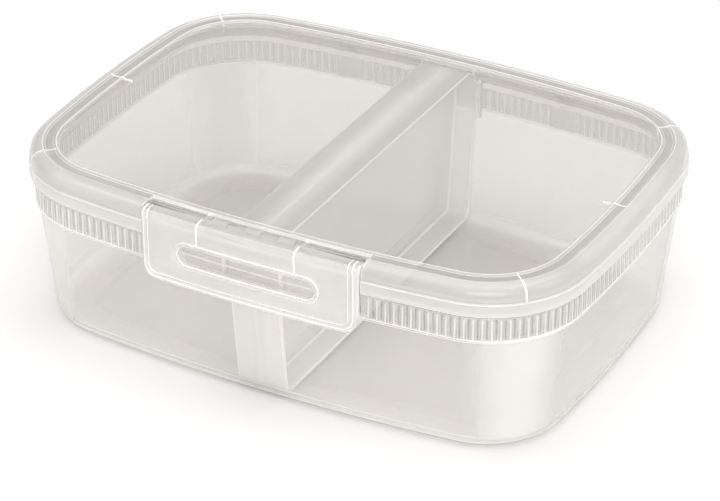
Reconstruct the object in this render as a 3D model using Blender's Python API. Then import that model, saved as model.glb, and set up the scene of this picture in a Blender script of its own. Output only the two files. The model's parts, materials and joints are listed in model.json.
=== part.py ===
"""Divided lunch box with a removable divider and a lid held by one hinged clip.

+X runs along the long side, the clip is on the -Y side and +Z is up. The flat
underside of the tub lies on Z = 0 and its middle is the world origin.

Every horizontal outline of the box is one datum outline pushed outward. The datum
is made of tangent arcs, so the outlines at every offset stay parallel to it.
All dimensions are in millimetres until they reach a mesh.
"""

import math

import bmesh
import bpy
from mathutils import Vector

MM = 0.001
SMOOTH_ANGLE = math.radians(30.0)
FLAT_ANGLE = math.radians(0.05)
WELD_DISTANCE = 0.00001

# Datum outline: the inner edge of the lid rim, with slightly bowed sides.
HALF_LENGTH = 91.6
HALF_WIDTH = 64.4
LONG_SIDE_RADIUS = 634.0
SHORT_SIDE_RADIUS = 518.0
CORNER_RADIUS = 25.6
CORNER_STEPS = 8
SHORT_SIDE_STEPS = 2

# Fit between the four mouldings.
RUNNING_GAP = 0.3
WALL = 1.2
WELD_DEPTH = 0.6
CUT_MARGIN = 2.0

# Tub.
FLOOR_THICKNESS = 1.5
BASE_EDGE_RADIUS = 4.5
BASE_EDGE_STEPS = 4
WALL_DRAFT = math.radians(6.2)
SHOULDER_HEIGHT = 42.2
SHOULDER_OFFSET = 6.7
COLLAR_STEP = 0.4
RIM_OFFSET = 6.9
TUB_HEIGHT = 57.0

# Upright ribs round the collar of the tub.
RIB_TOP = 50.6
RIB_ROOT_OFFSET = RIM_OFFSET + 0.1
RIB_DEPTH = 0.6
RIB_PITCH = 2.9
RIB_FLANK = 0.18
RIB_CREST = 0.34

# Guide ribs inside the tub that hold the divider upright.
GUIDE_THICKNESS = 1.2
GUIDE_REACH = 2.4
GUIDE_TOP = TUB_HEIGHT - 2.0
GUIDE_BEVEL_WIDTH = 1.0
GUIDE_BEVEL_HEIGHT = 1.5
GUIDE_SIDE_GAP = 0.4

# Lid.
LID_HEIGHT = 62.6
PANEL_TOP = 61.9
PANEL_THICKNESS = 1.0
PANEL_STEP_START = -1.6
PANEL_STEP_END = -0.4
LAND_START = 0.6
LAND_WIDTH = 5.5
LAND_FALL = 0.3
RIM_SHOULDER_STEPS = 4
RIM_FACE_OFFSET = 8.7
BEAD_OFFSET = 9.1
BEAD_TOP = 57.0
SKIRT_BOTTOM = 52.4
SKIRT_INNER_OFFSET = 7.5
BEAD_CHAMFER = 0.4
PLUG_INNER_OFFSET = -0.7
PLUG_OUTER_OFFSET = 0.5
PLUG_BOTTOM = 57.6
WEB_THICKNESS = 1.0
WEB_BOTTOM = TUB_HEIGHT + RUNNING_GAP
WEB_SHOULDER_HEIGHT = 59.0
WEB_EMBED = 0.4

# Rear snap lugs under the lid skirt.
LUG_CENTRE = 42.0
LUG_WIDTH = 6.5
LUG_HEIGHT = 2.6
LUG_OFFSET = 7.35
LUG_RECESS = 0.3

# Clip and its hinge.
CLIP_HALF_WIDTH = 39.0
CLIP_SIDE_GAP = 0.4
CLIP_BOTTOM = 37.4
CLIP_FACE_OFFSET = 10.6
CLIP_THICKNESS = 1.5
CLIP_EDGE_WIDTH = 2.2
CLIP_EDGE_DEPTH = 1.6
CLIP_EDGE_STEPS = 4
CLIP_CORNER_RADIUS = 6.0
CLIP_CORNER_STEPS = 8
CLIP_END_SKIN = 0.5
CLIP_SHOULDER_RADIUS = 2.4
CLIP_SHOULDER_STEPS = 4
CLIP_INNER_CHAMFER = 1.4
CATCH_OFFSET = 8.0
CATCH_TOP = SHOULDER_HEIGHT - 0.5
CATCH_CHAMFER = 0.5
CATCH_RISE = 0.6
END_WALL_SETBACK = 0.3
END_WALL_TOP = 61.6
END_WALL_BEVEL = 1.8
END_WALL_REACH = 0.7
HINGE_OFFSET = 4.0
HINGE_HEIGHT = 59.9
BARREL_RADIUS = 2.5
BARREL_BORE = 1.5
BARREL_STEPS = 4
BARREL_EDGE_SHARE = 0.4
PIN_RADIUS = 1.3
PIN_STEPS = 16
HINGE_WEB_CENTRE = 17.5
HINGE_WEB_OFFSET = 8.4
HINGE_WEB_TOP = 60.6
HINGE_WEB_CHAMFER = 1.2
HINGE_WEB_EMBED = 0.1
WEB_SLOT_DEPTH = 2.2
KNUCKLE_CENTRES = (-12.0, 0.0, 12.0)
KNUCKLE_WIDTH = 5.0
KNUCKLE_START = math.radians(-100.0)
KNUCKLE_END = math.radians(185.0)
KNUCKLE_INSET = 0.05
KNUCKLE_STEPS = 12
SLOT_HALF_LENGTH = 24.6
SLOT_RADIUS = 3.3
SLOT_HEIGHT = 50.0
SLOT_BORDER = 1.6
SLOT_BORDER_PROUD = 0.4
SLOT_END_STEPS = 8

# Catch pad on the tub behind the clip.
PAD_HALF_WIDTH = 29.0
PAD_HEIGHT = 6.0
PAD_PROUD = 0.6

# Divider.
DIVIDER_HALF_WIDTH = 9.2
DIVIDER_SKIN = 1.2
PLATE_HALF_THICKNESS = 0.8
DIVIDER_TOP = 60.2
DIVIDER_GAP = 0.5
DIVIDER_SHOULDER_RADIUS = 9.4
DIVIDER_SHOULDER_STEPS = 6

# Where the long sides carry a vertex, so that features can start and stop there.
OUTER_STATION = 52.0
INNER_STATION = 15.0
LONG_SIDE_STATIONS = (OUTER_STATION, CLIP_HALF_WIDTH + CLIP_SIDE_GAP, PAD_HALF_WIDTH, INNER_STATION, 0.0)


# ---------------------------------------------------------------- datum outline

def unit(angle):
    return Vector((math.cos(angle), math.sin(angle)))


def corner_centre():
    """Centre of the corner arc that touches both side arcs from the inside."""
    long_centre = Vector((0.0, HALF_WIDTH - LONG_SIDE_RADIUS))
    short_centre = Vector((HALF_LENGTH - SHORT_SIDE_RADIUS, 0.0))
    long_reach = LONG_SIDE_RADIUS - CORNER_RADIUS
    short_reach = SHORT_SIDE_RADIUS - CORNER_RADIUS
    between = short_centre - long_centre
    along = (long_reach ** 2 - short_reach ** 2 + between.length_squared) / (2.0 * between.length)
    across = math.sqrt(long_reach ** 2 - along ** 2)
    direction = between.normalized()
    return long_centre + along * direction + across * Vector((direction.y, -direction.x))


def quadrant():
    """Points and outward normals of the datum from the +X axis to the +Y axis."""
    centre = corner_centre()
    long_centre = Vector((0.0, HALF_WIDTH - LONG_SIDE_RADIUS))
    short_centre = Vector((HALF_LENGTH - SHORT_SIDE_RADIUS, 0.0))
    short_end = math.atan2(centre.y - short_centre.y, centre.x - short_centre.x)
    long_end = math.atan2(centre.y - long_centre.y, centre.x - long_centre.x)
    stations = []
    for step in range(SHORT_SIDE_STEPS):
        normal = unit(short_end * step / SHORT_SIDE_STEPS)
        stations.append((short_centre + SHORT_SIDE_RADIUS * normal, normal))
    for step in range(CORNER_STEPS + 1):
        normal = unit(short_end + (long_end - short_end) * step / CORNER_STEPS)
        stations.append((centre + CORNER_RADIUS * normal, normal))
    for x in LONG_SIDE_STATIONS:
        normal = unit(math.acos(x / LONG_SIDE_RADIUS))
        stations.append((long_centre + LONG_SIDE_RADIUS * normal, normal))
    return stations


def full_outline():
    """The datum outline, counter-clockwise, as (point, normal) pairs."""
    first = quadrant()
    top_left = [mirrored(pair, -1, 1) for pair in reversed(first[:-1])]
    bottom_left = [mirrored(pair, -1, -1) for pair in first[1:]]
    bottom_right = [mirrored(pair, 1, -1) for pair in reversed(first[1:-1])]
    return first + top_left + bottom_left + bottom_right


def mirrored(pair, sign_x, sign_y):
    return tuple(Vector((sign_x * item.x, sign_y * item.y)) for item in pair)


def front_y(x, offset):
    """Y of the front side at x, pushed outward by offset."""
    bow = LONG_SIDE_RADIUS - math.sqrt(LONG_SIDE_RADIUS ** 2 - x ** 2)
    return -(HALF_WIDTH + offset) + bow


def front_stations(*right):
    """X stations along the front side, mirrored about its middle."""
    return [-x for x in reversed(right)] + [0.0] + list(right)


def ring(offset, height):
    """One horizontal outline of the box as 3D points."""
    points = []
    for point, normal in full_outline():
        flat = point + normal * offset
        points.append(Vector((flat.x, flat.y, height)))
    return points


# ---------------------------------------------------------------- mesh helpers

def add_loop(mesh, points):
    return [mesh.verts.new(point * MM) for point in points]


def skin(mesh, lower, upper):
    """Quads between two loops of the same length."""
    count = len(lower)
    for index in range(count):
        following = (index + 1) % count
        mesh.faces.new((lower[index], lower[following], upper[following], upper[index]))


def shade(mesh):
    """Smooth faces everywhere, with sharp edges where the surface turns steeply."""
    for edge in mesh.edges:
        edge.smooth = len(edge.link_faces) == 2 and edge.calc_face_angle() < SMOOTH_ANGLE
    for face in mesh.faces:
        face.smooth = True


def finish(mesh, name):
    """Turn the bmesh into a named object with outward normals and smooth round faces."""
    bmesh.ops.recalc_face_normals(mesh, faces=mesh.faces)
    shade(mesh)
    data = bpy.data.meshes.new(name)
    mesh.to_mesh(data)
    mesh.free()
    obj = bpy.data.objects.new(name, data)
    bpy.context.scene.collection.objects.link(obj)
    return obj


def lofted(name, loops):
    """A closed body through equal loops, with a flat face over the first and last."""
    mesh = bmesh.new()
    rings = [add_loop(mesh, loop) for loop in loops]
    for lower, upper in zip(rings, rings[1:]):
        skin(mesh, lower, upper)
    mesh.faces.new(reversed(rings[0]))
    mesh.faces.new(rings[-1])
    return finish(mesh, name)


def prism_along_x(name, section, x_start, x_end):
    """Extrude a (y, z) section from x_start to x_end."""
    loops = [[Vector((x, y, z)) for y, z in section] for x in (x_start, x_end)]
    return lofted(name, loops)


def front_prism(name, section, x_stations):
    """Extrude an (offset, z) section along the bowed front side."""
    loops = [[Vector((x, front_y(x, offset), z)) for offset, z in section] for x in x_stations]
    return lofted(name, loops)


def front_section(section):
    """An (offset, z) section as (y, z) at the middle of the front side."""
    return [(-(HALF_WIDTH + offset), z) for offset, z in section]


def rectangle(first_low, first_high, second_low, second_high):
    return [(first_low, second_low), (first_high, second_low),
            (first_high, second_high), (first_low, second_high)]


def arc(centre, radius, start, end, steps):
    """Points on a circular arc, angles in radians."""
    return oval_arc(centre, (radius, radius), start, end, steps)


def oval_arc(centre, radii, start, end, steps):
    points = []
    for step in range(steps + 1):
        angle = start + (end - start) * step / steps
        points.append((centre[0] + radii[0] * math.cos(angle), centre[1] + radii[1] * math.sin(angle)))
    return points


def combine(target, others, operation):
    """Apply exact booleans one after another and remove the tools."""
    for tool in others:
        modifier = target.modifiers.new(operation.lower(), "BOOLEAN")
        modifier.operation = operation
        modifier.solver = "EXACT"
        modifier.object = tool
        graph = bpy.context.evaluated_depsgraph_get()
        data = bpy.data.meshes.new_from_object(target.evaluated_get(graph))
        target.modifiers.clear()
        previous = target.data
        target.data = data
        data.name = target.name
        bpy.data.meshes.remove(previous)
        bpy.data.objects.remove(tool)
    reshade(target)


def reshade(obj):
    """Weld the boolean result, drop slivers and mark the sharp edges again."""
    mesh = bmesh.new()
    mesh.from_mesh(obj.data)
    bmesh.ops.remove_doubles(mesh, verts=mesh.verts, dist=WELD_DISTANCE)
    bmesh.ops.dissolve_limit(mesh, angle_limit=FLAT_ANGLE, verts=mesh.verts, edges=mesh.edges)
    shade(mesh)
    mesh.to_mesh(obj.data)
    mesh.free()


def move_origin(obj, origin):
    """Put the object's origin on origin (millimetres) without moving its surface."""
    shift = origin * MM
    for vertex in obj.data.vertices:
        vertex.co -= shift
    obj.location = shift


def plastic(name, colour, roughness, alpha):
    material = bpy.data.materials.new(name)
    material.use_nodes = True
    shader = material.node_tree.nodes["Principled BSDF"]
    shader.inputs["Base Color"].default_value = (*colour, 1.0)
    shader.inputs["Roughness"].default_value = roughness
    shader.inputs["IOR"].default_value = 1.49
    shader.inputs["Alpha"].default_value = alpha
    material.diffuse_color = (*colour, alpha)
    return material


def paint(obj, material):
    obj.data.materials.clear()
    obj.data.materials.append(material)


# ---------------------------------------------------------------- tub

def drafted_offset(height, inset):
    """Offset of the drafted wall at a height, moved inward by inset."""
    return SHOULDER_OFFSET - (SHOULDER_HEIGHT - height) * math.tan(WALL_DRAFT) - inset


def wall_profile(floor_height, edge_radius, inset):
    """(offset, height) points from the floor round the edge to the foot of the wall."""
    centre_height = floor_height + edge_radius
    slant_inset = inset / math.cos(WALL_DRAFT)
    centre_offset = drafted_offset(centre_height, slant_inset) - edge_radius / math.cos(WALL_DRAFT)
    return arc((centre_offset, centre_height), edge_radius, -math.pi / 2, -WALL_DRAFT, BASE_EDGE_STEPS)


def has_rib(x, y):
    """The collar is plain under the clip and beside the rear lugs."""
    if y < 0:
        return abs(x) > CLIP_HALF_WIDTH + RIB_PITCH / 2
    return abs(abs(x) - LUG_CENTRE) > (LUG_WIDTH + RIB_PITCH) / 2


def ribbed_ring(height):
    """The rib outline at a height, one list of points for each datum segment."""
    root = ring(RIB_ROOT_OFFSET, height)
    crest = ring(RIB_ROOT_OFFSET + RIB_DEPTH, height)
    segments = []
    for index, start in enumerate(root):
        following = (index + 1) % len(root)
        end = root[following]
        rib_count = max(1, round((end - start).length / RIB_PITCH))
        points = [start]
        for rib in range(rib_count):
            middle = (rib + 0.5) / rib_count
            spot = start.lerp(end, middle)
            if has_rib(spot.x, spot.y):
                half_crest = 0.5 * RIB_CREST / rib_count
                half_root = half_crest + RIB_FLANK / rib_count
                points.append(start.lerp(end, middle - half_root))
                points.append(crest[index].lerp(crest[following], middle - half_crest))
                points.append(crest[index].lerp(crest[following], middle + half_crest))
                points.append(start.lerp(end, middle + half_root))
        segments.append(points)
    return segments


def cap_ribs(mesh, plain_loop, rib_segments):
    """Flat faces between a plain loop and the rib outline at the same height."""
    count = len(plain_loop)
    for index in range(count):
        following = (index + 1) % count
        outer = rib_segments[index] + [rib_segments[following][0]]
        mesh.faces.new([plain_loop[following], plain_loop[index]] + outer)


def tub_shell():
    """Tub with its ribbed collar as one closed body."""
    mesh = bmesh.new()
    inner_floor = wall_profile(FLOOR_THICKNESS, BASE_EDGE_RADIUS - WALL, WALL)
    collar_inner = RIM_OFFSET - WALL
    inside = inner_floor + [
        (SHOULDER_OFFSET - WALL, SHOULDER_HEIGHT),
        (collar_inner, SHOULDER_HEIGHT + COLLAR_STEP),
        (collar_inner, TUB_HEIGHT),
    ]
    outside_low = wall_profile(0.0, BASE_EDGE_RADIUS, 0.0) + [(SHOULDER_OFFSET, SHOULDER_HEIGHT)]
    outside_high = [(RIM_OFFSET, RIB_TOP), (RIM_OFFSET, TUB_HEIGHT)]

    inside_rings = [add_loop(mesh, ring(*place)) for place in inside]
    low_rings = [add_loop(mesh, ring(*place)) for place in outside_low]
    high_rings = [add_loop(mesh, ring(*place)) for place in outside_high]
    for rings in (inside_rings, low_rings, high_rings):
        for lower, upper in zip(rings, rings[1:]):
            skin(mesh, lower, upper)
    skin(mesh, inside_rings[-1], high_rings[-1])
    mesh.faces.new(inside_rings[0])
    mesh.faces.new(low_rings[0])

    rib_foot = [add_loop(mesh, points) for points in ribbed_ring(SHOULDER_HEIGHT)]
    rib_head = [add_loop(mesh, points) for points in ribbed_ring(RIB_TOP)]
    skin(mesh, sum(rib_foot, []), sum(rib_head, []))
    cap_ribs(mesh, low_rings[-1], rib_foot)
    cap_ribs(mesh, high_rings[0], rib_head)
    return finish(mesh, "tub")


def guide_rib(x_centre, side):
    """A rib inside the collar that keeps the divider from sliding sideways."""
    face = RIM_OFFSET - WALL - GUIDE_REACH
    root = RIM_OFFSET - WALL + WELD_DEPTH
    foot = SHOULDER_HEIGHT + COLLAR_STEP
    bevel = face + GUIDE_BEVEL_WIDTH
    section = [(bevel, foot - GUIDE_REACH), (root - WELD_DEPTH, foot - GUIDE_REACH), (root, foot),
               (root, GUIDE_TOP), (bevel, GUIDE_TOP), (face, GUIDE_TOP - GUIDE_BEVEL_HEIGHT), (face, foot)]
    placed = [(side * (HALF_WIDTH + offset), z) for offset, z in section]
    return prism_along_x("guide", placed, x_centre - GUIDE_THICKNESS / 2, x_centre + GUIDE_THICKNESS / 2)


def catch_pad():
    """Raised pad on the collar that the clip closes against."""
    low = SHOULDER_HEIGHT + COLLAR_STEP
    section = rectangle(RIM_OFFSET - WELD_DEPTH, RIM_OFFSET + PAD_PROUD, low, low + PAD_HEIGHT)
    return front_prism("pad", section, front_stations(INNER_STATION, PAD_HALF_WIDTH))


def make_tub():
    tub = tub_shell()
    guide_x = DIVIDER_HALF_WIDTH + GUIDE_SIDE_GAP + GUIDE_THICKNESS / 2
    guides = [guide_rib(x, side) for x in (-guide_x, guide_x) for side in (-1, 1)]
    combine(tub, guides + [catch_pad()], "UNION")
    return tub


# ---------------------------------------------------------------- lid

def lid_shell():
    """Clear panel with a hollow rim, one closed body."""
    land_end = LID_HEIGHT - LAND_FALL
    shoulder_radius = RIM_FACE_OFFSET - LAND_WIDTH
    centre = (LAND_WIDTH, land_end - shoulder_radius)
    shoulder = arc(centre, shoulder_radius, math.pi / 2, 0.0, RIM_SHOULDER_STEPS)
    inner_shoulder = arc(centre, shoulder_radius - WALL, 0.0, math.pi / 2, RIM_SHOULDER_STEPS - 1)
    underside = land_end - WALL
    profile = [
        (PANEL_STEP_START, PANEL_TOP), (PANEL_STEP_END, LID_HEIGHT), (LAND_START, LID_HEIGHT),
        *shoulder,
        (RIM_FACE_OFFSET, BEAD_TOP), (BEAD_OFFSET, BEAD_TOP - BEAD_CHAMFER),
        (BEAD_OFFSET, SKIRT_BOTTOM + BEAD_CHAMFER), (BEAD_OFFSET - BEAD_CHAMFER, SKIRT_BOTTOM),
        (SKIRT_INNER_OFFSET, SKIRT_BOTTOM),
        *inner_shoulder,
        (PLUG_OUTER_OFFSET, underside), (PLUG_OUTER_OFFSET, PLUG_BOTTOM),
        (PLUG_INNER_OFFSET, PLUG_BOTTOM), (PLUG_INNER_OFFSET, PANEL_TOP - PANEL_THICKNESS),
    ]
    return lofted("lid", [ring(*place) for place in profile])


def rim_web(point, normal):
    """A thin web across the hollow rim, square to the outline at one station."""
    land_underside = LID_HEIGHT - LAND_FALL - WALL
    outer = SKIRT_INNER_OFFSET + WEB_EMBED
    section = [(0.0, PLUG_BOTTOM + WELD_DEPTH), (RIM_OFFSET - WALL - WELD_DEPTH, WEB_BOTTOM),
               (outer, WEB_BOTTOM), (outer, WEB_SHOULDER_HEIGHT),
               (LAND_WIDTH + RUNNING_GAP, land_underside + WEB_EMBED), (0.0, LID_HEIGHT - WELD_DEPTH)]
    tangent = Vector((-normal.y, normal.x))
    loops = []
    for side in (-0.5, 0.5):
        start = point + tangent * side * WEB_THICKNESS
        loops.append([Vector((start.x + normal.x * offset, start.y + normal.y * offset, z))
                      for offset, z in section])
    return lofted("web", loops)


def rim_webs():
    """Webs at the middle of each corner arc and of each short side."""
    stations = quadrant()
    corner = stations[SHORT_SIDE_STEPS + CORNER_STEPS // 2]
    middle = stations[0]
    places = [mirrored(corner, sign_x, sign_y) for sign_x in (-1, 1) for sign_y in (-1, 1)]
    places += [mirrored(middle, sign_x, 1) for sign_x in (-1, 1)]
    return [rim_web(*place) for place in places]


def clip_notch():
    """Cutter that opens the front of the rim for the clip."""
    half = CLIP_HALF_WIDTH + CLIP_SIDE_GAP
    section = rectangle(WALL, BEAD_OFFSET + CUT_MARGIN, SKIRT_BOTTOM - CUT_MARGIN, LID_HEIGHT + CUT_MARGIN)
    return front_prism("notch", section, front_stations(INNER_STATION, PAD_HALF_WIDTH, half))


def divider_notch(side):
    """Cutter that lets the rounded end of the divider pass the plug of the lid."""
    half = DIVIDER_HALF_WIDTH + 2 * RUNNING_GAP
    near = side * (HALF_WIDTH + PLUG_INNER_OFFSET - CUT_MARGIN)
    far = side * (HALF_WIDTH + PLUG_OUTER_OFFSET + CUT_MARGIN)
    ceiling = PANEL_TOP - PANEL_THICKNESS
    section = rectangle(min(near, far), max(near, far), PLUG_BOTTOM - CUT_MARGIN, ceiling)
    return prism_along_x("notch", section, -half, half)


def hinge_web(x_centre):
    """Web that carries the hinge pin inside the clip notch."""
    section = front_section([
        (0.0, PLUG_BOTTOM + HINGE_WEB_EMBED), (HINGE_OFFSET, WEB_BOTTOM), (HINGE_WEB_OFFSET, WEB_BOTTOM),
        (HINGE_WEB_OFFSET, HINGE_WEB_TOP - HINGE_WEB_CHAMFER),
        (HINGE_WEB_OFFSET - HINGE_WEB_CHAMFER, HINGE_WEB_TOP),
        (WALL - HINGE_WEB_EMBED, HINGE_WEB_TOP), (0.0, LID_HEIGHT - PANEL_THICKNESS),
    ])
    half = WEB_THICKNESS / 2
    return prism_along_x("web", section, x_centre - half, x_centre + half)


def hinge_pin():
    centre = (-(HALF_WIDTH + HINGE_OFFSET), HINGE_HEIGHT)
    section = arc(centre, PIN_RADIUS, 0.0, 2 * math.pi, PIN_STEPS)[:-1]
    return prism_along_x("pin", section, -HINGE_WEB_CENTRE, HINGE_WEB_CENTRE)


def rear_lug(x_centre):
    """Snap lug inside the skirt at the back."""
    middle_y = -front_y(x_centre, LUG_OFFSET)
    reach = SKIRT_INNER_OFFSET - LUG_OFFSET + WELD_DEPTH
    bottom = SKIRT_BOTTOM + LUG_RECESS
    section = rectangle(middle_y, middle_y + reach, bottom, bottom + LUG_HEIGHT)
    return prism_along_x("lug", section, x_centre - LUG_WIDTH / 2, x_centre + LUG_WIDTH / 2)


def make_lid():
    lid = lid_shell()
    combine(lid, [clip_notch(), divider_notch(-1), divider_notch(1)], "DIFFERENCE")
    hinge_parts = [hinge_web(-HINGE_WEB_CENTRE), hinge_web(HINGE_WEB_CENTRE), hinge_pin()]
    combine(lid, rim_webs() + hinge_parts + [rear_lug(-LUG_CENTRE), rear_lug(LUG_CENTRE)], "UNION")
    return lid


# ---------------------------------------------------------------- clip

def edge_inset(x):
    """How far the clip's outer surface falls back as it rounds over to its ends."""
    past = max(0.0, abs(x) - (CLIP_HALF_WIDTH - CLIP_EDGE_WIDTH)) / CLIP_EDGE_WIDTH
    return CLIP_EDGE_DEPTH * (1.0 - math.sqrt(1.0 - min(past, 1.0) ** 2))


def corner_rise(x):
    """How far the clip's lower edge has risen at x, round its lower corners."""
    past = max(0.0, abs(x) - (CLIP_HALF_WIDTH - CLIP_CORNER_RADIUS)) / CLIP_CORNER_RADIUS
    return CLIP_CORNER_RADIUS * (1.0 - math.sqrt(1.0 - min(past, 1.0) ** 2))


def clip_section(x):
    """Closed (y, z) outline of the clip shell at x; the barrel stays straight, the rest is bowed."""
    inset = edge_inset(x)
    rise = corner_rise(x)
    top_inset = BARREL_EDGE_SHARE * inset
    top = HINGE_HEIGHT + BARREL_RADIUS - top_inset
    bottom = CLIP_BOTTOM + rise + inset
    inner = CLIP_FACE_OFFSET - max(CLIP_THICKNESS, inset + CLIP_END_SKIN)
    barrel_centre = (HINGE_OFFSET, HINGE_HEIGHT)
    barrel_outer = arc(barrel_centre, BARREL_RADIUS - top_inset, math.pi, math.pi / 2, BARREL_STEPS)
    barrel_inner = arc(barrel_centre, BARREL_BORE, math.pi / 2, math.pi, BARREL_STEPS)
    shoulder_height = HINGE_HEIGHT + BARREL_RADIUS - CLIP_SHOULDER_RADIUS
    shoulder_centre = (CLIP_FACE_OFFSET - CLIP_SHOULDER_RADIUS, shoulder_height)
    shoulder_radii = (CLIP_SHOULDER_RADIUS - inset, top - shoulder_height)
    shoulder = oval_arc(shoulder_centre, shoulder_radii, math.pi / 2, 0.0, CLIP_SHOULDER_STEPS)
    edge_centre = (CLIP_FACE_OFFSET - CLIP_EDGE_WIDTH, CLIP_BOTTOM + rise + CLIP_EDGE_WIDTH)
    edge_radius = CLIP_EDGE_WIDTH - inset
    bottom_edge = arc(edge_centre, edge_radius, 0.0, -math.pi / 2, CLIP_EDGE_STEPS)
    inner_top = HINGE_HEIGHT + BARREL_BORE
    catch_top = CATCH_TOP + rise + inset
    bowed = [
        *shoulder, *bottom_edge,
        (CATCH_OFFSET, bottom + CATCH_CHAMFER), (CATCH_OFFSET, catch_top - CATCH_CHAMFER),
        (inner, catch_top + CATCH_RISE),
        (inner, inner_top - CLIP_INNER_CHAMFER), (inner - CLIP_INNER_CHAMFER, inner_top),
    ]
    straight = [(-(HALF_WIDTH + offset), z) for offset, z in barrel_outer]
    follow = [(front_y(x, offset), z) for offset, z in bowed]
    back = [(-(HALF_WIDTH + offset), z) for offset, z in barrel_inner]
    return straight + follow + back


def clip_shell():
    end_start = CLIP_HALF_WIDTH - CLIP_CORNER_RADIUS
    ends = [end_start + CLIP_CORNER_RADIUS * math.sin(math.pi / 2 * step / CLIP_CORNER_STEPS)
            for step in range(CLIP_CORNER_STEPS + 1)]
    stations = front_stations(INNER_STATION, PAD_HALF_WIDTH, *ends)
    loops = [[Vector((x, y, z)) for y, z in clip_section(x)] for x in stations]
    return lofted("clip", loops)


def clip_end_wall(sign):
    """Returned end of the clip that closes the side of the notch."""
    outer = CLIP_HALF_WIDTH - END_WALL_SETBACK
    inner = outer - CLIP_THICKNESS
    face = CLIP_FACE_OFFSET - CLIP_EDGE_DEPTH
    back = HINGE_OFFSET + END_WALL_REACH
    low = CLIP_BOTTOM + CLIP_CORNER_RADIUS
    rim_pass = TUB_HEIGHT + 2 * RUNNING_GAP
    section = [(CATCH_OFFSET, low), (face, low), (face, END_WALL_TOP - END_WALL_BEVEL),
               (face - END_WALL_BEVEL, END_WALL_TOP), (back, END_WALL_TOP), (back, rim_pass),
               (CATCH_OFFSET, rim_pass)]
    return front_prism("end", section, (sign * inner, sign * outer))


def knuckle(x_centre):
    """C-shaped hook round the hinge pin, open towards the front and below."""
    centre = (-(HALF_WIDTH + HINGE_OFFSET), HINGE_HEIGHT)
    outer = arc(centre, BARREL_RADIUS - KNUCKLE_INSET, KNUCKLE_START, KNUCKLE_END, KNUCKLE_STEPS)
    inner = arc(centre, PIN_RADIUS + RUNNING_GAP, KNUCKLE_END, KNUCKLE_START, KNUCKLE_STEPS)
    return prism_along_x("knuckle", outer + inner, x_centre - KNUCKLE_WIDTH / 2, x_centre + KNUCKLE_WIDTH / 2)


def stadium(half_length, radius, height):
    """Rounded slot outline as (x, z) points, with stations that follow the bowed face."""
    straight = half_length - radius
    right = arc((straight, height), radius, -math.pi / 2, math.pi / 2, SLOT_END_STEPS)
    left = arc((-straight, height), radius, math.pi / 2, 3 * math.pi / 2, SLOT_END_STEPS)
    middle = front_stations(INNER_STATION)
    above = [(x, height + radius) for x in reversed(middle)]
    below = [(x, height - radius) for x in middle]
    return right + above + left + below


def stadium_body(name, grow, near_offset, far_offset):
    """A stadium-shaped body through the clip face between two offsets."""
    outline = stadium(SLOT_HALF_LENGTH + grow, SLOT_RADIUS + grow, SLOT_HEIGHT)
    loops = [[Vector((x, front_y(x, offset), z)) for x, z in outline] for offset in (near_offset, far_offset)]
    return lofted(name, loops)


def web_slot(x_centre):
    """Cutter that lets the lid's hinge web stand inside the barrel."""
    half = WEB_THICKNESS / 2 + CLIP_SIDE_GAP
    reach = BARREL_RADIUS + CUT_MARGIN
    section = front_section(rectangle(HINGE_OFFSET - reach, HINGE_OFFSET + WEB_SLOT_DEPTH,
                                      HINGE_HEIGHT - reach, HINGE_HEIGHT + reach))
    return prism_along_x("slot", section, x_centre - half, x_centre + half)


def make_clip():
    clip = clip_shell()
    inner = CLIP_FACE_OFFSET - CLIP_THICKNESS
    proud = SLOT_BORDER_PROUD
    border = stadium_body("border", SLOT_BORDER, inner - proud, CLIP_FACE_OFFSET + proud)
    combine(clip, [clip_end_wall(-1), clip_end_wall(1), border], "UNION")
    combine(clip, [knuckle(x) for x in KNUCKLE_CENTRES], "UNION")
    hole = stadium_body("hole", 0.0, inner - CUT_MARGIN, CLIP_FACE_OFFSET + CUT_MARGIN)
    slots = [web_slot(-HINGE_WEB_CENTRE), web_slot(HINGE_WEB_CENTRE)]
    combine(clip, [hole] + slots, "DIFFERENCE")
    return clip


# ---------------------------------------------------------------- divider

def divider_half_outline(inset):
    """(y, z) points from the floor up the back wall to the top, moved inward by inset."""
    floor_height = FLOOR_THICKNESS + RUNNING_GAP + inset
    clearance = WALL + DIVIDER_GAP + inset
    edge_radius = BASE_EDGE_RADIUS - WALL - DIVIDER_GAP
    foot = wall_profile(floor_height, edge_radius, clearance)
    collar = RIM_OFFSET - clearance
    shoulder_centre = (RIM_OFFSET - WALL - DIVIDER_GAP - DIVIDER_SHOULDER_RADIUS,
                       DIVIDER_TOP - DIVIDER_SHOULDER_RADIUS)
    shoulder = arc(shoulder_centre, DIVIDER_SHOULDER_RADIUS - inset, 0.0, math.pi / 2, DIVIDER_SHOULDER_STEPS)
    step_top = SHOULDER_HEIGHT + COLLAR_STEP + RUNNING_GAP
    wall = [(SHOULDER_OFFSET - clearance, SHOULDER_HEIGHT), (collar, step_top)]
    return [(HALF_WIDTH + offset, z) for offset, z in foot + wall + shoulder]


def divider_outline(inset):
    back = divider_half_outline(inset)
    front = [(-y, z) for y, z in reversed(back)]
    return back + front


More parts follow.
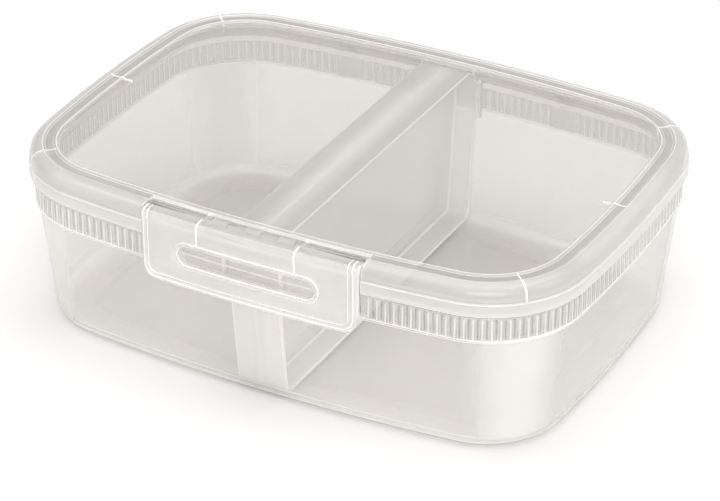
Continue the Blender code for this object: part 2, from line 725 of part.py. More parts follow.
def make_divider():
    """A plate with a flange all round its edge, like an I-beam bent into a frame."""
    outer = divider_outline(0.0)
    inner = divider_outline(DIVIDER_SKIN)
    mesh = bmesh.new()

    def loop(outline, x):
        return add_loop(mesh, [Vector((x, y, z)) for y, z in outline])

    left_plate = loop(inner, -PLATE_HALF_THICKNESS)
    left_lip = loop(inner, -DIVIDER_HALF_WIDTH)
    left_edge = loop(outer, -DIVIDER_HALF_WIDTH)
    right_edge = loop(outer, DIVIDER_HALF_WIDTH)
    right_lip = loop(inner, DIVIDER_HALF_WIDTH)
    right_plate = loop(inner, PLATE_HALF_THICKNESS)
    rings = [left_plate, left_lip, left_edge, right_edge, right_lip, right_plate]
    for lower, upper in zip(rings, rings[1:]):
        skin(mesh, lower, upper)
    mesh.faces.new(left_plate)
    mesh.faces.new(right_plate)
    return finish(mesh, "divider")


# ---------------------------------------------------------------- assembly

def clear_scene():
    for obj in list(bpy.data.objects):
        bpy.data.objects.remove(obj)


def build():
    clear_scene()
    tub = make_tub()
    divider = make_divider()
    lid = make_lid()
    clip = make_clip()
    move_origin(clip, Vector((0.0, -(HALF_WIDTH + HINGE_OFFSET), HINGE_HEIGHT)))
    paint(tub, plastic("tub_plastic", (0.86, 0.85, 0.83), 0.25, 0.45))
    paint(divider, plastic("divider_plastic", (0.84, 0.83, 0.80), 0.30, 0.50))
    paint(lid, plastic("lid_plastic", (0.88, 0.87, 0.85), 0.20, 0.40))
    paint(clip, plastic("clip_plastic", (0.88, 0.87, 0.86), 0.22, 0.50))


build()
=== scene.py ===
"""Looks of the divided lunch box: four clear mouldings with their fine edges.

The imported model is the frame: its boxes and joint give the driving sizes here, and
every visible piece rides on one of its bodies. Lengths are in millimetres until they
reach a mesh. Horizontal outlines are one datum outline pushed outward by an offset,
as in the frame's own design, but with rounded edges and finer steps.
"""

import json
import math
from collections import namedtuple

import bmesh
import bpy
import numpy as np
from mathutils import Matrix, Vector


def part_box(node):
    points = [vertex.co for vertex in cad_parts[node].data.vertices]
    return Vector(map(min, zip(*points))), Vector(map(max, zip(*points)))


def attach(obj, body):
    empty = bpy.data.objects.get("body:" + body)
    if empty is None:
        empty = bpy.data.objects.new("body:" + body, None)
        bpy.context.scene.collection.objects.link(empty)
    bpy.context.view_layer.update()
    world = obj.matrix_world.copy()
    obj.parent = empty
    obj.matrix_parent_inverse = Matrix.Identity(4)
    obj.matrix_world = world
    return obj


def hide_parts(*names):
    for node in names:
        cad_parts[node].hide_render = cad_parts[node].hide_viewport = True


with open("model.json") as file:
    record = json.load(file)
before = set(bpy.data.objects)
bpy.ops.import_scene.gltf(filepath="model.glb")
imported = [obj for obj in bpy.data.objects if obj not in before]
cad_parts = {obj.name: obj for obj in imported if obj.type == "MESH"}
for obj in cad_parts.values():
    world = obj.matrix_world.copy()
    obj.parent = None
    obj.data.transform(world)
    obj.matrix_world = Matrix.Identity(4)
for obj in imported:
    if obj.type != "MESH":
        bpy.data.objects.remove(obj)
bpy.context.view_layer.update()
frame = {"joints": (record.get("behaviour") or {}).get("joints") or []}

MM = 0.001


def node_box(node):
    """(low, high) corners of a node of the frame, in millimetres."""
    return [Vector(corner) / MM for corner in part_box(node)]


LID_LOW, LID_HIGH = node_box("lid")
TUB_HIGH = node_box("tub")[1]
CLIP_LOW, CLIP_HIGH = node_box("clip")
DIVIDER_LOW, DIVIDER_HIGH = node_box("divider")

# Datum outline: the inner edge of the lid rim, with slightly bowed sides.
BEAD_OFFSET = 9.1
HALF_LENGTH = LID_HIGH.x - BEAD_OFFSET
HALF_WIDTH = LID_HIGH.y - BEAD_OFFSET
LONG_SIDE_RADIUS = 634.0
SHORT_SIDE_RADIUS = 518.0
CORNER_RADIUS = 25.6

# Wall and running gap shared by the mouldings.
WALL = 1.2
GAP = 0.3

# Offset of the loops inside which the floor of the tub and the panel of the lid are plain.
FLOOR_LOOP = -14.0
PANEL_LOOP = -12.0

# Tub.
FLOOR = 1.5
BASE_RADIUS = 4.5
DRAFT = math.tan(math.radians(6.2))
SHOULDER_HEIGHT = 42.2
SHOULDER_OFFSET = 6.7
RIM_OFFSET = 6.9
RIM_TOP = TUB_HIGH.z
RIB_TOP = 50.6
RIB_ROOT = 7.0
RIB_DEPTH = 0.6
RIB_PITCH = 2.9
STATIONS_PER_RIB = 6

# Guide ribs inside the tub.
GUIDE_THICKNESS = 1.2
GUIDE_REACH = 2.4
GUIDE_GAP = 0.4

# Lid.
LID_TOP = LID_HIGH.z
PANEL_TOP = LID_TOP - 0.7
PANEL_UNDER = PANEL_TOP - 1.0
LAND_UNDER = LID_TOP - 1.5
FACE_OFFSET = 8.7
SKIRT_BOTTOM = LID_LOW.z
SKIRT_INNER = 7.5
PLUG_BOTTOM = 57.6
LAND_OUTER = 4.4
LUG_X = 42.0
LUG_WIDTH = 6.5
LUG_OFFSET = 7.35
LUG_DEPTH = 0.5
WEB_HALF = 0.3
WEB_PROUD = 0.05

# Clip and hinge.
CLIP_HALF_WIDTH = CLIP_HIGH.x
CLIP_BOTTOM = CLIP_LOW.z
SLOT_PROUD = 0.4
CLIP_FACE = -CLIP_LOW.y - HALF_WIDTH - SLOT_PROUD
CLIP_WALL = 1.5
CATCH_OFFSET = 8.0
HINGE = Vector(next(joint["pos_m"] for joint in frame["joints"] if joint["name"] == "clip_hinge")) / MM
HINGE_OFFSET = -HINGE.y - HALF_WIDTH
BARREL_RADIUS = 2.5
PIN_RADIUS = 1.3
HINGE_WEB_X = 17.5
HINGE_WEB_HALF = 0.4
HINGE_WEB_FACE = 8.4
WEB_SLOT_REACH = 2.2
WEB_SLOT_HALF = 0.7
HOOK_SPACING = 12.0
HOOK_HALF_WIDTH = 2.5
END_ROUND = 2.0
END_FALL = 1.5
BARREL_SHARE = 0.4
SLOT_HALF = 24.6
SLOT_RADIUS = 3.3
SLOT_HEIGHT = 50.0
PAD_HALF_WIDTH = 29.0
CLIP_CORNER_RADIUS = 6.0

# Fine lines on the face of the clip: distance from its edge and half width of each.
FRAME_LINES = ((1.5, 0.30), (3.1, 0.22))
LINE_PROUD = 0.12
SHOULDER_LINE_PROUD = 0.08
LINE_BURIED = 0.3
HINGE_LINE_HALF = 0.28

# Divider.
DIVIDER_GAP = 0.5
DIVIDER_PLATE = 0.8
DIVIDER_FLANGE = 1.2
DIVIDER_TOP_RADIUS = 9.4
PLATE_INSET = 8.0

# Detail of the meshes.
ROUND_STEPS = 3
GUARD = 0.6
OUTLINE_STEP = 2.6
SMOOTH_BELOW = math.radians(38.0)
BEVEL_ABOVE = math.radians(35.0)

# Where the painted highlight on an edge starts and is full: by bend, in radians per millimetre, and by
# angle.
CURVE_FROM = 0.6
CURVE_FULL = 1.3
SHARP_FROM = math.radians(32.0)
SHARP_FULL = math.radians(60.0)

# Studio and camera, in metres; sensor and lens in millimetres.
STUDIO_SIZE = 8.0
STUDIO_DROP = 0.0002
BOX_MIDDLE = Vector((0.0, 0.0, 0.03))
ROOM_FRONT = (1.5, 1.5, 1.5)
ROOM_BACK = (0.95, 0.95, 0.95)
ROOM_LEFT = 0.36
ROOM_RIGHT = 0.86
SENSOR_WIDTH = 36.0
LENS = 149.8
CAMERA_PLACE = Vector((0.4114, -0.7610, 0.5289))
CAMERA_TARGET = Vector((0.0095, -0.0170, 0.0309))

# What a region of a piece looks like: cloudiness (in places a painted highlight), painted shade, and how
# strongly the painted highlight shows on its edges.
FinishAndPaintedLight = namedtuple("FinishAndPaintedLight", "milk depth crisp")


# ---------------------------------------------------------------- outline of the box

def unit(angle):
    """Flat unit vector at an angle."""
    return Vector((math.cos(angle), math.sin(angle)))


def quadrant_arcs():
    """Centre, radius, first and last angle of the arcs from the +X axis to the +Y axis."""
    long_centre = Vector((0.0, HALF_WIDTH - LONG_SIDE_RADIUS))
    short_centre = Vector((HALF_LENGTH - SHORT_SIDE_RADIUS, 0.0))
    long_reach = LONG_SIDE_RADIUS - CORNER_RADIUS
    short_reach = SHORT_SIDE_RADIUS - CORNER_RADIUS
    between = short_centre - long_centre
    along = (long_reach ** 2 - short_reach ** 2 + between.length_squared) / (2.0 * between.length)
    across = math.sqrt(long_reach ** 2 - along ** 2)
    direction = between.normalized()
    corner = long_centre + along * direction + across * Vector((direction.y, -direction.x))
    short_end = math.atan2(corner.y - short_centre.y, corner.x - short_centre.x)
    long_end = math.atan2(corner.y - long_centre.y, corner.x - long_centre.x)
    return [
        (short_centre, SHORT_SIDE_RADIUS, 0.0, short_end),
        (corner, CORNER_RADIUS, short_end, long_end),
        (long_centre, LONG_SIDE_RADIUS, long_end, math.pi / 2),
    ]


def outline(pitch, steps_per_pitch):
    """(point, normal) pairs round the datum, with a whole number of pitches on each arc."""
    quarter = []
    for centre, radius, first, last in quadrant_arcs():
        length = (radius + RIB_ROOT) * (last - first)
        steps = steps_per_pitch * max(1, round(length / pitch))
        for step in range(steps):
            normal = unit(first + (last - first) * step / steps)
            quarter.append((centre + radius * normal, normal))
    top = (Vector((0.0, HALF_WIDTH)), Vector((0.0, 1.0)))
    half = quarter + [top] + [mirrored(pair, -1, 1) for pair in reversed(quarter)]
    return half + [mirrored(pair, 1, -1) for pair in reversed(half[1:-1])]


def with_front_stations(stations, places):
    """The same pairs with more of them on the front side, at the given x places."""
    radius = LONG_SIDE_RADIUS + FACE_OFFSET / 2
    centre = Vector((0.0, LONG_SIDE_RADIUS - HALF_WIDTH))
    extra = []
    for x in places:
        normal = unit(-math.pi / 2 + math.asin(x / radius))
        extra.append((centre + LONG_SIDE_RADIUS * normal, normal))
    return sorted(stations + extra, key=lambda pair: math.atan2(pair[0].y, pair[0].x) % (2 * math.pi))


def mirrored(pair, sign_x, sign_y):
    """A (point, normal) pair with its x and y signs changed."""
    return tuple(Vector((sign_x * item.x, sign_y * item.y)) for item in pair)


def front_y(x, offset):
    """Y of the front side at x, pushed outward by offset."""
    bow = LONG_SIDE_RADIUS - math.sqrt(LONG_SIDE_RADIUS ** 2 - x ** 2)
    return -(HALF_WIDTH + offset) + bow


def wall_offset(height, inset=0.0):
    """Offset of the drafted tub wall at a height, moved inward by inset."""
    return SHOULDER_OFFSET - (SHOULDER_HEIGHT - height) * DRAFT - inset


# ---------------------------------------------------------------- section outlines

def rounded(corners, steps=ROUND_STEPS):
    """Points along (u, v, radius) corners, with each radius as a true arc."""
    points = []
    for index, (u, v, radius) in enumerate(corners):
        spot = Vector((u, v))
        if radius == 0.0:
            points.append(spot)
            continue
        ahead = Vector(corners[(index + 1) % len(corners)][:2]) - spot
        back = Vector(corners[index - 1][:2]) - spot
        half_turn = back.angle(ahead) / 2.0
        reach = radius / math.tan(half_turn)
        centre = spot + (back.normalized() + ahead.normalized()).normalized() * radius / math.sin(half_turn)
        first = spot + back.normalized() * reach - centre
        last = spot + ahead.normalized() * reach - centre
        points += [centre + radius * first.slerp(last, step / steps) for step in range(steps + 1)]
    return points


def guarded(points, closed=False):
    """Adds a point close to both ends of each long stretch, so that the painted highlight on edges stays at
    the edges.
    """
    pairs = list(zip(points, points[1:] + points[:1])) if closed else list(zip(points, points[1:]))
    result = []
    for start, end in pairs:
        result.append(start)
        length = (end - start).length
        if length > 3.0 * GUARD:
            result.append(start.lerp(end, GUARD / length))
            result.append(end.lerp(start, GUARD / length))
    return result if closed else result + [points[-1]]


def rectangle(u_low, u_high, v_low, v_high):
    """The four corners of an upright rectangle."""
    corners = ((u_low, v_low), (u_high, v_low), (u_high, v_high), (u_low, v_high))
    return [Vector(corner) for corner in corners]


def arc(centre, radius, start, end, steps):
    """Points on a circular arc, angles in degrees."""
    angles = [math.radians(start + (end - start) * step / steps) for step in range(steps + 1)]
    return [Vector(centre) + radius * unit(angle) for angle in angles]


# ---------------------------------------------------------------- mesh helpers

def loft(name, loops, caps=True, ring=False):
    """A body through equal loops of points; ring joins the last loop to the first."""
    count = len(loops[0])
    vertices = [point * MM for loop in loops for point in loop]
    rows = len(loops) if ring else len(loops) - 1
    faces = []
    for row in range(rows):
        lower = row * count
        upper = (row + 1) % len(loops) * count
        for index in range(count):
            following = (index + 1) % count
            faces.append((lower + index, lower + following, upper + following, upper + index))
    if caps and not ring:
        faces.append(tuple(range(count)))
        faces.append(tuple(range(len(vertices) - count, len(vertices))))
    data = bpy.data.meshes.new(name)
    data.from_pydata(vertices, [], faces)
    obj = bpy.data.objects.new(name, data)
    bpy.context.scene.collection.objects.link(obj)
    return obj


def swept(name, profile, stations, lift=None):
    """A body whose (offset, height) profile runs round the box; lift adds offset at a station."""
    loops = []
    for offset, height in profile:
        loop = []
        for index, (point, normal) in enumerate(stations):
            reach = offset + (lift(index, offset, height) if lift else 0.0)
            flat = point + normal * reach
            loop.append(Vector((flat.x, flat.y, height)))
        loops.append(loop)
    return loft(name, loops)


def prism(name, section, x_start, x_end, soften=0.2):
    """A (y, z) section from x_start to x_end with its edges rounded."""
    obj = loft(name, [[Vector((x, y, z)) for y, z in section] for x in (x_start, x_end)])
    round_edges(obj, soften)
    return obj


def front_body(name, section, x_stations, soften=0.2):
    """An (offset, z) section along the bowed front side with its edges rounded."""
    obj = loft(name, [[Vector((x, front_y(x, offset), z)) for offset, z in section] for x in x_stations])
    round_edges(obj, soften)
    return obj


def round_edges(obj, width):
    """Bevel the sharp edges of a simple body."""
    if width == 0.0:
        return
    mesh = bmesh.new()
    mesh.from_mesh(obj.data)
    sharp = [edge for edge in mesh.edges if edge.calc_face_angle(0.0) > BEVEL_ABOVE]
    bmesh.ops.bevel(mesh, geom=sharp, offset=width * MM, segments=2, profile=0.5, affect="EDGES",
                    clamp_overlap=True)
    mesh.to_mesh(obj.data)
    mesh.free()


def joined(name, parts):
    """Several closed bodies as one piece."""
    mesh = bmesh.new()
    for part in parts:
        mesh.from_mesh(part.data)
        bpy.data.objects.remove(part)
    data = bpy.data.meshes.new(name)
    mesh.to_mesh(data)
    mesh.free()
    obj = bpy.data.objects.new(name, data)
    bpy.context.scene.collection.objects.link(obj)
    return obj


def cut(target, tools):
    """Take the tools out of the target with exact booleans."""
    for tool in tools:
        outward(tool.data)
        modifier = target.modifiers.new("cut", "BOOLEAN")
        modifier.operation = "DIFFERENCE"
        modifier.solver = "EXACT"
        modifier.object = tool
    outward(target.data)
    graph = bpy.context.evaluated_depsgraph_get()
    data = bpy.data.meshes.new_from_object(target.evaluated_get(graph))
    target.modifiers.clear()
    target.data = data
    for tool in tools:
        bpy.data.objects.remove(tool)


def outward(data):
    """Turn every face of a closed mesh outward."""
    mesh = bmesh.new()
    mesh.from_mesh(data)
    bmesh.ops.recalc_face_normals(mesh, faces=mesh.faces)
    mesh.to_mesh(data)
    mesh.free()


def plain_region(place):
    """An ordinary clear wall with the full painted highlight on its edges."""
    return FinishAndPaintedLight(milk=0.0, depth=0.0, crisp=1.0)


def between(value, low, high):
    """How far a value has come from low to high, held to 0 to 1."""
    return min(max((value - low) / (high - low), 0.0), 1.0)


def painted_edge_highlight(vertex):
    """Painted highlight on a moulded edge: full where the surface turns tightly, none on wide rounds."""
    strongest = 0.0
    for side in vertex.link_edges:
        turn = side.calc_face_angle(0.0)
        width = sum(face.calc_area() for face in side.link_faces) / (2.0 * side.calc_length() * MM)
        bend = turn / max(width, 0.05)
        curved = between(bend, CURVE_FROM, CURVE_FULL)
        sharp = between(turn, SHARP_FROM, SHARP_FULL)
        strongest = max(strongest, curved, sharp)
    return strongest


def finish_piece(obj, node, material, region=plain_region, edge=0.0):
    """Smooth the piece, store its cloudiness and painted light, and let it stand for its node of the frame.

    Its colour attribute holds a painted highlight on edges, milkiness (in places a painted highlight
    as well) and painted shade. The edge highlight comes from how tightly the surface turns, times the
    scale that region gives along with the other two at a place in millimetres, and is at least the
    given edge amount all over the piece.
    """
    mesh = bmesh.new()
    mesh.from_mesh(obj.data)
    bmesh.ops.remove_doubles(mesh, verts=mesh.verts, dist=0.01 * MM)
    bmesh.ops.recalc_face_normals(mesh, faces=mesh.faces)
    layer = mesh.verts.layers.float_color.new("finish_and_painted_light")
    for face in mesh.faces:
        face.smooth = True
    for side in mesh.edges:
        side.smooth = side.calc_face_angle(0.0) < SMOOTH_BELOW
    for vertex in mesh.verts:
        milk, depth, crisp = region(vertex.co / MM)
        # Painted highlight on edges: from how tightly the surface turns, scaled by the region, at least the
        # piece's own amount.
        painted_highlight_share = max(crisp * painted_edge_highlight(vertex), edge)
        vertex[layer] = (painted_highlight_share, milk, depth, 1.0)
    mesh.to_mesh(obj.data)
    mesh.free()
    obj.data.materials.clear()
    obj.data.materials.append(material)
    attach(obj, node)
    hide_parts(node)
    return obj


# ---------------------------------------------------------------- tub

def has_rib(spot):
    """The collar is plain under the clip and beside the rear lugs."""
    if spot.y < 0:
        return abs(spot.x) > CLIP_HALF_WIDTH + RIB_PITCH / 2
    return abs(abs(spot.x) - LUG_X) > (LUG_WIDTH + RIB_PITCH) / 2


def rib_swell(index):
    """How far a rib has risen, 0 to 1, at a station of the collar."""
    phase = (index % STATIONS_PER_RIB) / STATIONS_PER_RIB
    return min(1.0, max(0.0, 1.5 - 5.0 * abs(phase - 0.5)))


def make_tub(material):
    """Thin drafted shell with a ribbed collar and a plain rim."""
    stations = outline(RIB_PITCH, STATIONS_PER_RIB)
    collar_inner = RIM_OFFSET - WALL
    inner_wall = WALL / math.cos(math.atan(DRAFT))
    crest = RIB_ROOT + RIB_DEPTH
    profile = guarded(rounded([
        (FLOOR_LOOP, 0.0, 0.0),
        (wall_offset(0.0), 0.0, BASE_RADIUS),
        (SHOULDER_OFFSET, SHOULDER_HEIGHT - 0.1, 0.15),
        (crest - 0.05, SHOULDER_HEIGHT, 0.3),
        (crest - 0.05, SHOULDER_HEIGHT + 0.9, 0.25),
        (RIB_ROOT, SHOULDER_HEIGHT + 1.1, 0.1),
        (RIB_ROOT, RIB_TOP, 0.05),
        (RIM_OFFSET, RIB_TOP + 0.2, 0.1),
        (RIM_OFFSET, RIM_TOP, 0.5),
        (collar_inner, RIM_TOP, 0.5),
        (collar_inner, SHOULDER_HEIGHT + 0.7, 0.5),
        (wall_offset(SHOULDER_HEIGHT, inner_wall), SHOULDER_HEIGHT - 0.6, 0.5),
        (wall_offset(FLOOR, inner_wall), FLOOR, BASE_RADIUS - WALL),
        (FLOOR_LOOP, FLOOR, 0.0),
    ]))
    band_low = SHOULDER_HEIGHT + 1.1
    ribbed = [has_rib(point + normal * RIM_OFFSET) for point, normal in stations]

    def lift(index, offset, height):
        inside_band = band_low < height < RIB_TOP - 0.1 and offset > RIM_OFFSET
        return RIB_DEPTH * rib_swell(index) if inside_band and ribbed[index] else 0.0

    tub = swept("tub_shell", profile, stations, lift)
    return finish_piece(tub, "tub", material, tub_region)


def corner_share(place):
    """0 on the sides of the box, rising to 1 at the middle of each corner."""
    centre, radius, first, last = quadrant_arcs()[1]
    angle = math.atan2(abs(place.y) - centre.y, abs(place.x) - centre.x)
    middle = (first + last) / 2
    return math.cos(math.pi / 2 * between(abs(angle - middle), 0.0, last - middle)) ** 2


def tub_region(place):
    """Painted light by region: walls cloudier at the base radius and the corners, which also paints
    the bright bands there; painted shade on the floor inside the base, on the rim, inside the collar,
    on its plain back and between the ribs, whose crests are milkier as a painted highlight.
    """
    if place.z < SHOULDER_HEIGHT + 1.0:
        inside_base = offset_at(place) < wall_offset(0.0) - BASE_RADIUS - 0.5
        base_band = between(place.z, BASE_RADIUS + 0.5, BASE_RADIUS - 1.5)
        # Painted shade on the floor inside the base.
        if inside_base:
            return FinishAndPaintedLight(milk=0.0, depth=0.25, crisp=1.0)
        # Cloudier at the base radius and the corners, partly a painted highlight there.
        return FinishAndPaintedLight(milk=max(1.8 * base_band, 1.8 * corner_share(place)), depth=0.0, crisp=1.0)
    # Painted shade on the rim above the ribs.
    if place.z > RIB_TOP + 0.1:
        return FinishAndPaintedLight(milk=0.25, depth=0.3, crisp=1.0)
    # Plain collar: painted shade at the back, none at the front, and no painted highlight on its edges.
    if not has_rib(place):
        return FinishAndPaintedLight(milk=0.25, depth=0.0 if place.y < 0 else 0.9, crisp=0.0)
    offset = offset_at(place)
    # Inside the collar: painted shade.
    if offset < RIM_OFFSET - WALL / 2:
        return FinishAndPaintedLight(milk=0.1, depth=0.6, crisp=0.3)
    # Ribs: crests milkier as a painted highlight, painted shade in the gaps.
    crest = between(offset, RIB_ROOT, RIB_ROOT + RIB_DEPTH)
    return FinishAndPaintedLight(milk=0.3 + 0.7 * crest, depth=1.0 - crest, crisp=0.5)


def offset_at(place):
    """Offset of a point from the datum outline, measured to its nearest arc."""
    spot = Vector((abs(place.x), abs(place.y)))
    arcs = quadrant_arcs()
    corner, corner_radius, first, last = arcs[1]
    angle = math.atan2(spot.y - corner.y, spot.x - corner.x)
    centre, radius = corner, corner_radius
    if angle < first:
        centre, radius = arcs[0][:2]
    if angle > last:
        centre, radius = arcs[2][:2]
    return (spot - centre).length - radius


def make_guide_ribs(material):
    """Two pairs of ribs inside the collar that hold the divider upright."""
    root = RIM_OFFSET - WALL + GUIDE_GAP
    face = RIM_OFFSET - WALL - GUIDE_REACH
    low = SHOULDER_HEIGHT + 0.4
    top = RIM_TOP - 2.0
    section = [
        (face + 1.0, low - GUIDE_REACH),
        (root - GUIDE_GAP, low - GUIDE_REACH),
        (root, low),
        (root, top),
        (face + 1.0, top),
        (face, top - 1.5),
        (face, low),
    ]
    half = GUIDE_THICKNESS / 2
    centre = DIVIDER_HIGH.x + GUIDE_GAP + half
    parts = []
    for x in (-centre, centre):
        for side in (-1, 1):
            placed = [Vector((side * (HALF_WIDTH + offset), z)) for offset, z in section]
            parts.append(prism("guide", placed, x - half, x + half, 0.25))
    # The guide ribs carry some painted highlight all over.
    return finish_piece(joined("tub_guide_ribs", parts), "tub", material, edge=0.4)


def make_catch_pad(material):
    """Raised pad on the collar that the clip closes against."""
    low = SHOULDER_HEIGHT + 1.4
    section = rectangle(RIM_OFFSET - 0.4, RIM_OFFSET + 0.6, low, low + 5.0)
    stations = np.linspace(-PAD_HALF_WIDTH, PAD_HALF_WIDTH, 21)
    return finish_piece(front_body("tub_catch_pad", section, stations, 0.25), "tub", material)


# ---------------------------------------------------------------- lid

def rim_top(grow=0.0):
    """Corners of the rim from its raised inner edge, over the land and the ridge, to its outer face."""
    return [
        (-0.15, LID_TOP + grow, 0.35),
        (0.9, LID_TOP - 0.5 + grow, 0.3),
        (LAND_OUTER - 0.9, LID_TOP - 0.55 + grow, 0.3),
        (LAND_OUTER, LID_TOP - 0.1 + grow, 0.7),
        (FACE_OFFSET - 0.1 + grow, LID_TOP - 1.3 + grow, 3.2),
    ]


def make_lid(material):
    """Clear panel inside a hollow rounded rim, opened at the front for the clip."""
    profile = guarded(rounded([
        (PANEL_LOOP, PANEL_TOP, 0.0),
        (-1.1, PANEL_TOP, 0.25),
        *rim_top(),
        (FACE_OFFSET, RIM_TOP, 0.1),
        (BEAD_OFFSET, RIM_TOP - 0.3, 0.2),
        (BEAD_OFFSET, SKIRT_BOTTOM, 0.35),
        (SKIRT_INNER, SKIRT_BOTTOM, 0.25),
        (SKIRT_INNER, LAND_UNDER, 2.1),
        (0.5, LAND_UNDER, 0.3),
        (0.5, PLUG_BOTTOM, 0.3),
        (-0.7, PLUG_BOTTOM, 0.3),
        (-0.7, PANEL_UNDER, 0.4),
        (PANEL_LOOP, PANEL_UNDER, 0.0),
    ]))
    beside_clip = [sign * (CLIP_HALF_WIDTH + gap) for sign in (-1, 1) for gap in (0.7, 1.1)]
    lid = swept("lid_shell", profile, with_front_stations(outline(OUTLINE_STEP, 1), beside_clip))
    cut(lid, [clip_opening(), divider_opening(-1), divider_opening(1)])
    return finish_piece(lid, "lid", material, lid_region)


def lid_region(place):
    """Clear panel and milky rim, with painted shade: full along the land between the two ridges,
    lighter over the rest of the rim top and a little under the panel's edge; less painted highlight
    on the ridge, on the panel and under its edge.
    """
    offset = offset_at(place)
    if offset < -0.6:
        return FinishAndPaintedLight(milk=0.0, depth=0.0, crisp=0.35)
    if offset < 2.0 and place.z < PANEL_UNDER + 0.2:
        return FinishAndPaintedLight(milk=0.4, depth=0.1, crisp=0.25)
    if place.z < RIM_TOP - 0.2:
        return FinishAndPaintedLight(milk=1.3, depth=0.0, crisp=1.0)
    # Painted shade: full along the land, lighter over the rest of the rim top.
    on_land = place.z > LAND_UNDER and 0.6 < offset < LAND_OUTER - 0.5
    on_ridge = place.z > LAND_UNDER and offset > LAND_OUTER - 0.6
    return FinishAndPaintedLight(milk=1.0, depth=1.0 if on_land else 0.35, crisp=0.45 if on_ridge else 1.0)


def clip_opening():
    """Cuts the rim away at the front so that the clip can swing in it."""
    half = CLIP_HALF_WIDTH + 0.4
    section = rectangle(WALL, BEAD_OFFSET + 2.0, SKIRT_BOTTOM - 2.0, LID_TOP + 2.0)
    return front_body("opening", section, np.linspace(-half, half, 24), 0.0)


def divider_opening(side):
    """Lets the rounded end of the divider pass the plug of the lid."""
    half = DIVIDER_HIGH.x + 0.6
    ends = sorted((side * (HALF_WIDTH - 2.7), side * (HALF_WIDTH + 2.5)))
    return prism("opening", rectangle(*ends, PLUG_BOTTOM - 1.0, PANEL_UNDER), -half, half, 0.0)


def thin_web(section, point, normal):
    """An (offset, z) section given thickness, square to the outline at a point."""
    tangent = Vector((-normal.y, normal.x))
    loops = []
    for side in (-WEB_HALF, WEB_HALF):
        start = point + tangent * side
        loops.append([Vector((*(start + normal * offset), z)) for offset, z in section])
    return loft("web", loops)


def panel_web(point, normal):
    """A short bead from the panel over the raised inner edge and the land as far as the ridge."""
    section = [
        Vector((-4.0, PANEL_UNDER + 0.3)), Vector((LAND_OUTER, LID_TOP - 1.0)),
        Vector((LAND_OUTER, LID_TOP - 0.2 + WEB_PROUD)),
        Vector((LAND_OUTER - 0.9, LID_TOP - 0.5 + WEB_PROUD)),
        Vector((0.9, LID_TOP - 0.45 + WEB_PROUD)), Vector((-0.15, LID_TOP)),
        Vector((-1.1, PANEL_TOP + WEB_PROUD)), Vector((-4.0, PANEL_TOP + WEB_PROUD)),
    ]
    return thin_web(section, point, normal)


def radial_web(point, normal):
    """A thin web across the hollow rim, square to the outline, a hair proud of its surface."""
    low = RIM_TOP + GAP
    over = [(offset, min(height, LID_TOP), radius) for offset, height, radius in rim_top(WEB_PROUD)]
    section = rounded([
        (0.0, PLUG_BOTTOM + 0.6, 0.0),
        *over,
        (FACE_OFFSET + WEB_PROUD, low, 0.0),
        (RIM_OFFSET - WALL - 0.6, low, 0.0),
    ])
    return thin_web(section, point, normal)


def make_webs(material):
    """Stiffening webs at the corners, at the short sides and at the ends of the hinge pin."""
    corner_centre, corner_radius, first, last = quadrant_arcs()[1]
    normal = unit((first + last) / 2)
    corner = (corner_centre + normal * corner_radius, normal)
    end = (Vector((HALF_LENGTH, 0.0)), Vector((1.0, 0.0)))
    places = [mirrored(corner, sign_x, sign_y) for sign_x in (-1, 1) for sign_y in (-1, 1)]
    webs = [radial_web(*place) for place in places]
    webs += [panel_web(*end), panel_web(*mirrored(end, -1, 1))]
    low = RIM_TOP + GAP
    top = HINGE.z + WEB_SLOT_REACH - 0.25
    section = [(0.0, PLUG_BOTTOM + 0.2), (HINGE_OFFSET, low), (HINGE_WEB_FACE, low),
               (HINGE_WEB_FACE, HINGE.z + 0.8), (HINGE_WEB_FACE - 1.0, top), (WALL - 0.1, top),
               (0.0, PANEL_UNDER + 0.7)]
    placed = [Vector((-(HALF_WIDTH + offset), z)) for offset, z in section]
    webs += [prism("web", placed, x - HINGE_WEB_HALF, x + HINGE_WEB_HALF, 0.15)
             for x in (-HINGE_WEB_X, HINGE_WEB_X)]
    # The webs carry the full painted highlight all over.
    return finish_piece(joined("lid_webs", webs), "lid", material, edge=1.0)


def make_hinge_pin(material):
    """Round pin between the two hinge webs."""
    section = arc((HINGE.y, HINGE.z), PIN_RADIUS, 0.0, 352.5, 47)
    pin = prism("lid_hinge_pin", section, -HINGE_WEB_X, HINGE_WEB_X, 0.0)
    # The pin carries a little painted highlight all over.
    return finish_piece(pin, "lid", material, edge=0.3)


def make_rear_lugs(material):
    """Two snap lugs inside the skirt at the back."""
    parts = []
    for x in (-LUG_X, LUG_X):
        inner = -front_y(x, LUG_OFFSET)
        section = rectangle(inner, inner + LUG_DEPTH, SKIRT_BOTTOM + 0.3, SKIRT_BOTTOM + 2.9)
        parts.append(prism("lug", section, x - LUG_WIDTH / 2, x + LUG_WIDTH / 2, 0.15))
    # The lugs carry a strong painted highlight all over.
    return finish_piece(joined("lid_rear_lugs", parts), "lid", material, edge=0.9)


# ---------------------------------------------------------------- clip

def face_relief(x):
    """How far the clip's outer surface falls back at x as it rounds over to its ends."""
    past = min(max(0.0, abs(x) - (CLIP_HALF_WIDTH - END_ROUND)) / END_ROUND, 1.0)
    return END_FALL * (1.0 - math.sqrt(1.0 - past ** 2))


def corner_rise(x):
    """How far the clip's lower edge has risen at x round its corners."""
    radius = CLIP_CORNER_RADIUS
    past = min(max(0.0, abs(x) - (CLIP_HALF_WIDTH - radius)) / radius, 1.0)
    return radius * (1.0 - math.sqrt(1.0 - past ** 2))


